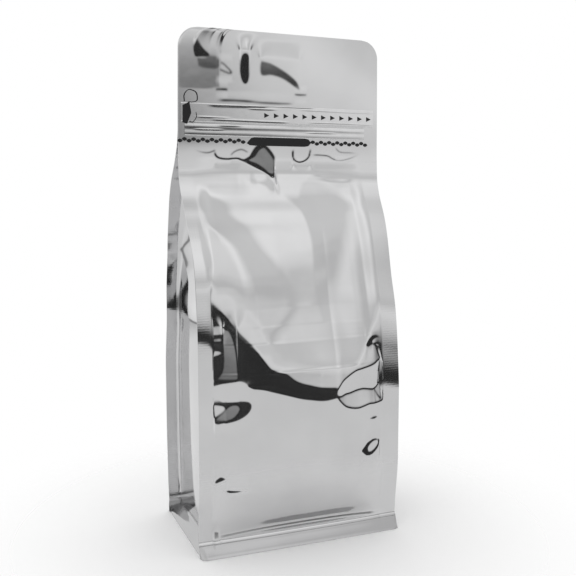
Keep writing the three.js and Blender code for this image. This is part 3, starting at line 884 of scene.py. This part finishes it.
print("sides and back")
sidesAndBack = makeBody(foil)
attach(sidesAndBack, "root")
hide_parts("foil_bag")


# The header carries two bands of film, the tear strip and the track, and the prints. A band's
# ridges are level: [height, width, rise, from x, to x].
strip = {
    "left": -68.5,
    "right": 66.5,
    "low": 273.5,
    "high": 285.5,
    "lift": 0.3,  # of its underside over the film
    "thick": 0.25,
    "ridges": [[284.7, 0.9, 0.1, -48, -12], [285.2, 0.45, 0.05, -12, 22], [283.1, 0.5, 0.055, -22, -6],
               [276.6, 0.45, 0.045, -56, -38], [275.2, 0.5, 0.055, -46, 2], [275.4, 0.4, 0.03, 20, 66],
               [283.4, 0.5, 0.03, 14, 66]],
}
track = {
    "left": -66,
    "right": 60,
    "low": 264.8,
    "high": 272.6,
    "lift": 0.25,
    "thick": 0.25,
    "ridges": [[270.7, 1.5, 0.075, -66, 60], [266.9, 1.5, 0.05, -66, 60], [272.3, 0.4, 0.045, 0, 22],
               [271.9, 0.6, 0.07, -43, -29], [268.8, 0.5, 0.06, -58, -42], [268.6, 0.4, 0.045, 18, 37]],
}
bandShape = {
    "stepAcross": 1.5,
    "stepUp": 0.22,
    "ridgeEnds": 4,  # a ridge rises over this to both sides of its ends
    "drift": 0.15,  # how far a ridge wanders up and down
    "driftLength": 13,
    "rim": 0.3,  # the band thins out this near its upper and lower edges
    "rimShare": 0.4,  # to this share of its height
    "sunk": 0.5,  # its underside lies this share of its lift over the film
}


def makeBand(name, band, material):
    # a band across the header; its height over the film is its thickness and its level ridges,
    # each of them rise exp(-(distance / width)^2)
    across = rowsBetween((band["left"], band["right"], bandShape["stepAcross"]))
    up = rowsBetween((band["low"], band["high"], bandShape["stepUp"]))
    x, z = np.meshgrid(across, up)
    out = np.full(x.shape, band["lift"] + band["thick"])
    ends, share = bandShape["ridgeEnds"], bandShape["rimShare"]
    for at, width, rise, fromX, toX in band["ridges"]:
        along = smoothStep(fromX - ends, fromX + ends, x) * (1 - smoothStep(toX - ends, toX + ends, x))
        drift = bandShape["drift"] * np.sin(x / bandShape["driftLength"] + at)
        out = out + rise * along * np.exp(-(((z - at - drift) / width) ** 2))
    edge = np.minimum(1, np.minimum(z - band["low"], band["high"] - z) / bandShape["rim"])
    outer = frontFace(x, z) - out * (share + (1 - share) * edge)
    count = len(across)
    behind = [count - 1, 2 * count // 3, count // 3, 0]
    inner = frontFace(x[:, behind], z[:, behind]) - band["lift"] * bandShape["sunk"]
    return makeSheet(name, x, z, outer, behind, inner, material)


marks = {
    "thick": 0.12,
    "gap": 0.02,  # between a print and what it lies on
    "edgeAngle": 30,  # edges sharper than this, in degrees, stay sharp
    "arrows": 12,
    "firstArrow": -11,
    "lastArrow": 63.2,
    "arrowZ": 279,
    "arrowLength": 3.5,
    "arrowHeight": 3.2,
    "checkerZ": 262,
    "checkerPitch": 6,
    "checkerWide": 3.5,
    "checkerHigh": 2.5,
    "checkerCorners": 8,
    "checkerPower": 0.3,  # 0 makes them round, 1 gives them straight sides
    "stagger": 1.05,  # every other one stands this much higher
    "checkerRuns": [[-69, -26], [22, 64]],
    "lozenge": [[-24.6, 260.8], [-21.5, 264.3], [-19, 264.8], [16, 264.8], [18.8, 264.3], [20.8, 262],
                [18.8, 259.8], [16, 259.3], [-19, 259.3], [-22.5, 259.5]],
    "tab": [[-67.3, 273], [-64.4, 272], [-61.7, 279], [-62.9, 285.8], [-67.3, 283.7]],
    "tabLift": 0.1,  # over the other prints on the strip
    "cutWidth": 0.45,
    "cuts": [[[-66, 286], [-66.2, 290], [-64, 293], [-61.5, 293.3], [-58.3, 291.6], [-57.7, 287.3],
              [-60, 285.9], [-63.6, 285.7]],
             [[-63, 273.7], [-61, 273.2], [-59.8, 274], [-58.3, 276.6], [-58.6, 279.5]]],
}


def makePlates(name, outlines, over, material):
    # Thin plates on the header. outlines is (plates, corners, 2) of x and z, anticlockwise seen
    # from the front; each plate is its outline twice, over and over + thick from the film.
    outlines = np.asarray(outlines, float)
    count, corners = outlines.shape[:2]
    x, z = outlines[..., 0], outlines[..., 1]
    low = np.stack([x, frontFace(x, z) - over, z], 2)
    high = np.stack([x, frontFace(x, z) - over - marks["thick"], z], 2)
    points = np.concatenate([low, high], 1).reshape(-1, 3)
    start = (np.arange(count) * 2 * corners)[:, None]
    near = start + corners + np.arange(corners)[None]
    far = (start + np.arange(corners)[None])[:, ::-1]
    i, j = np.arange(corners), (np.arange(corners) + 1) % corners
    rim = np.stack([start + i, start + j, start + corners + j, start + corners + i], 2).reshape(-1, 4)
    return makeMesh(name, points, [near, far, rim], material, marks["edgeAngle"])


def arrowOutlines():
    # triangles that point right, at even distances along the strip
    x = np.linspace(marks["firstArrow"], marks["lastArrow"], marks["arrows"])
    shape = np.array([[-0.5, 0.5], [-0.5, -0.5], [0.5, 0]]) * [marks["arrowLength"], marks["arrowHeight"]]
    return shape + np.stack([x, np.full(len(x), marks["arrowZ"])], 1)[:, None]


def checkerOutlines():
    # diamonds in two rows by turns: cos |cos|^power across and sin |sin|^power up
    angle = np.linspace(0, 2 * math.pi, marks["checkerCorners"], endpoint=False)
    cosine, sine, power = np.cos(angle), np.sin(angle), marks["checkerPower"]
    shape = np.stack([cosine * np.abs(cosine) ** power * marks["checkerWide"] / 2,
                      sine * np.abs(sine) ** power * marks["checkerHigh"] / 2], 1)
    step = marks["checkerPitch"] / 2
    x = np.concatenate([np.arange(low, high, step) for low, high in marks["checkerRuns"]])
    rise = np.where(np.arange(len(x)) % 2 == 0, -0.5, 0.5) * marks["stagger"]
    return shape + np.stack([x, marks["checkerZ"] + rise], 1)[:, None]


def makeCuts(name, lines, over, material):
    # each line is a thin bar over the film: a section of four corners carried along the line, half
    # the width to its right and to its left
    allPoints, allFaces, start = [], [], 0
    for points in lines:
        line = splineThrough(points, steps=6)
        run = np.gradient(line, axis=0)
        run = run / np.hypot(*run.T)[:, None]
        half = np.stack([-run[:, 1], run[:, 0]], 1) * marks["cutWidth"] / 2
        corners = np.stack([line - half, line + half, line + half, line - half], 1)
        lift = np.array([over, over, over + marks["thick"], over + marks["thick"]])[None]
        x, z = corners[..., 0], corners[..., 1]
        vertices, faces = closedLoft(np.stack([x, frontFace(x, z) - lift, z], 2))
        allPoints.append(vertices)
        allFaces.append([f + start for f in faces])
        start += len(vertices)
    merged = [np.concatenate(kind) for kind in zip(*allFaces)]
    return makeMesh(name, np.concatenate(allPoints), merged, material, marks["edgeAngle"])


print("header")
tearStrip = makeBand("tearStrip", strip, stripFilm)
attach(tearStrip, "root")
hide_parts("tear_strip")
zipperTrack = makeBand("zipperTrack", track, stripFilm)
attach(zipperTrack, "root")
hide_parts("zipper_track")

onStrip = strip["lift"] + strip["thick"] + marks["gap"]
arrows = makePlates("arrows", arrowOutlines(), onStrip, darkPrint)
checkers = makePlates("checkers", checkerOutlines(), marks["gap"], darkPrint)
lozenge = makePlates("lozenge", [marks["lozenge"][::-1]], marks["gap"], darkPrint)
pullTab = makePlates("pullTab", [marks["tab"]], onStrip + marks["tabLift"], darkPrint)
cutLines = makeCuts("cutLines", marks["cuts"], onStrip, darkPrint)
for piece in (arrows, checkers, lozenge, pullTab, cutLines):
    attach(piece, "root")
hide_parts("pull_tab")


studio = {
    "eye": (-0.19658, -0.50796, 0.22280),  # of the camera, in metres
    "yaw": 0.37915,  # to the right of +Y, in radians
    "down": 0.10791,
    "lens": 50,
    "sensor": 36,
    "nearest": 10,  # what is nearer to the camera isn't seen
    "floorRadius": 240,
    "floorFade": 60,  # the floor begins to fade out this far from the middle
    "floorCorners": 96,
    "floorBelow": 0.2,
    "floorTone": 0.97,
    "floorRoughness": 0.9,
    "floorSpecular": 0.1,
}


def makeCamera():
    # a camera on the left, level with the upper panel, that looks a little down
    data = bpy.data.cameras.new("camera")
    data.lens = studio["lens"]
    data.sensor_width = studio["sensor"]
    data.clip_start = studio["nearest"] * mm
    camera = bpy.data.objects.new("camera", data)
    camera.location = studio["eye"]
    camera.rotation_euler = (math.pi / 2 - studio["down"], 0, -studio["yaw"])
    bpy.context.scene.collection.objects.link(camera)
    bpy.context.scene.camera = camera


def makeFloor():
    # a round pale floor just under the bag, which fades out to its rim
    material, tree, shader = nodeMaterial("floorPaper")
    shader.inputs["Base Color"].default_value = grey(studio["floorTone"])
    shader.inputs["Roughness"].default_value = studio["floorRoughness"]
    shader.inputs["Specular IOR Level"].default_value = studio["floorSpecular"]
    place = addNode(tree, "TexCoord", (-900, 0)).outputs["Object"]
    away = addNode(tree, "VectorMath", (-700, 0), {0: place}, operation="LENGTH").outputs["Value"]
    near, far = studio["floorFade"] * mm, studio["floorRadius"] * mm
    fade = mapRange(tree, (-500, 0), away, near, far, 1, 0, "SMOOTHSTEP")
    tree.links.new(fade, shader.inputs["Alpha"])
    count = studio["floorCorners"]
    angle = np.linspace(0, 2 * math.pi, count, endpoint=False)
    radius, level = studio["floorRadius"], np.full(count, -studio["floorBelow"])
    rim = np.stack([np.cos(angle) * radius, np.sin(angle) * radius, level], 1)
    floor = makeMesh("floor", rim, [np.arange(count)[None]], material)


print("studio")
makeCamera()
makeFloor()

# light from all round, by the elevation of its direction in degrees: [elevation, brightness]
surroundings = {
    "bands": [[-90, 0.8], [-12, 0.8], [-10, 0.78], [-8, 0.03], [-2, 0.03], [1, 0.5], [4, 0.8],
              [6, 0.83], [8, 0.93], [9.2, 0.93], [10.5, 0.82], [12.5, 0.8], [14.5, 0.71],
              [17, 0.74], [20, 0.83], [28, 0.95], [48, 1.0], [56, 1.0], [75, 0.84], [90, 0.82]],
    # and behind the bag
    "behindBands": [[-90, 0.8], [-15, 0.92], [-9, 0.85], [-7, 0.3], [-5, 0.3], [-3, 0.85], [6, 1.0],
                    [50, 1.05], [90, 0.9]],
    # the share of the light behind it, by the direction round the bag: degrees to the right of
    # the front
    "behind": [[-180, 1], [-74, 1], [-52, 0], [92, 0], [112, 1], [180, 1]],
    # the brightness of the sides by the same direction, as a share of the bands'
    "sides": [[-180, 1], [-60, 1], [-10, 0.93], [9, 0.94], [20, 1.08], [28, 1.08], [44, 0.8], [75, 0.8],
              [95, 1], [180, 1]],
    "sidesFrom": 11,  # elevation from which the sides differ, in degrees
    "sidesFull": 24,
    "backdrop": 1.0,  # what the camera itself sees
    "brightest": 1.2,  # a ramp holds no more than 1, so what it gives is a share of this
}


def lightRamp(tree, place, value, halfTurn, pairs, brightest):
    # the output of a ramp that gives each pair's light at its angle, from -halfTurn to halfTurn
    ramp = addNode(tree, "ValToRGB", place, {"Fac": value})
    elements = ramp.color_ramp.elements
    while len(elements) < len(pairs):
        elements.new(0.5)
    for element, (angle, light) in zip(elements, pairs):
        element.position = (angle + halfTurn) / (2 * halfTurn)
        element.color = grey(light / brightest)
    return ramp.outputs["Color"]


def blend(tree, place, factor, a, b, kind="MIX"):
    # the output of a node that blends two colours
    inputs = {"Factor": factor, "A": a, "B": b}
    node = addNode(tree, "Mix", place, inputs, data_type="RGBA", blend_type=kind)
    return node.outputs["Result"]


def makeWorld():
    # The light of a direction is that of its elevation, asin(z), in front of the bag or behind it,
    # times that of the side, which goes by atan2(x, -y). The camera itself sees the backdrop.
    world = bpy.data.worlds.new("studio")
    world.use_nodes = True
    bpy.context.scene.world = world
    tree = world.node_tree
    most = surroundings["brightest"]
    place = addNode(tree, "TexCoord", (-1600, 0)).outputs["Generated"]
    split = addNode(tree, "SeparateXYZ", (-1400, 0), {"Vector": place})
    height = mathNode(tree, "ARCSINE", (-1200, 100), split.outputs["Z"])
    share = mapRange(tree, (-1000, 100), height, -math.pi / 2, math.pi / 2, 0, 1)
    front = mathNode(tree, "MULTIPLY", (-1200, -300), split.outputs["Y"], -1)
    angle = mathNode(tree, "ARCTAN2", (-1000, -300), split.outputs["X"], front)
    turn = mapRange(tree, (-800, -300), angle, -math.pi, math.pi, 0, 1)
    inFront = lightRamp(tree, (-800, 100), share, 90, surroundings["bands"], most)
    behind = lightRamp(tree, (-800, 350), share, 90, surroundings["behindBands"], most)
    isBehind = lightRamp(tree, (-600, -550), turn, 180, surroundings["behind"], 1)
    sides = lightRamp(tree, (-600, -300), turn, 180, surroundings["sides"], most)
    low, high = math.radians(surroundings["sidesFrom"]), math.radians(surroundings["sidesFull"])
    level = mapRange(tree, (-800, -550), height, low, high, 0, 1)
    bands = blend(tree, (-400, 200), isBehind, inFront, behind)
    sides = blend(tree, (-300, -300), level, grey(1 / most), sides)
    light = blend(tree, (-100, 0), 1, bands, sides, "MULTIPLY")
    seen = addNode(tree, "LightPath", (-100, 300)).outputs["Is Camera Ray"]
    backdrop = grey(surroundings["backdrop"] / most**2)
    background = tree.nodes["Background"]
    tree.links.new(blend(tree, (100, 0), seen, light, backdrop), background.inputs["Color"])
    background.inputs["Strength"].default_value = most**2


makeWorld()
bpy.context.scene.view_settings.view_transform = "Standard"
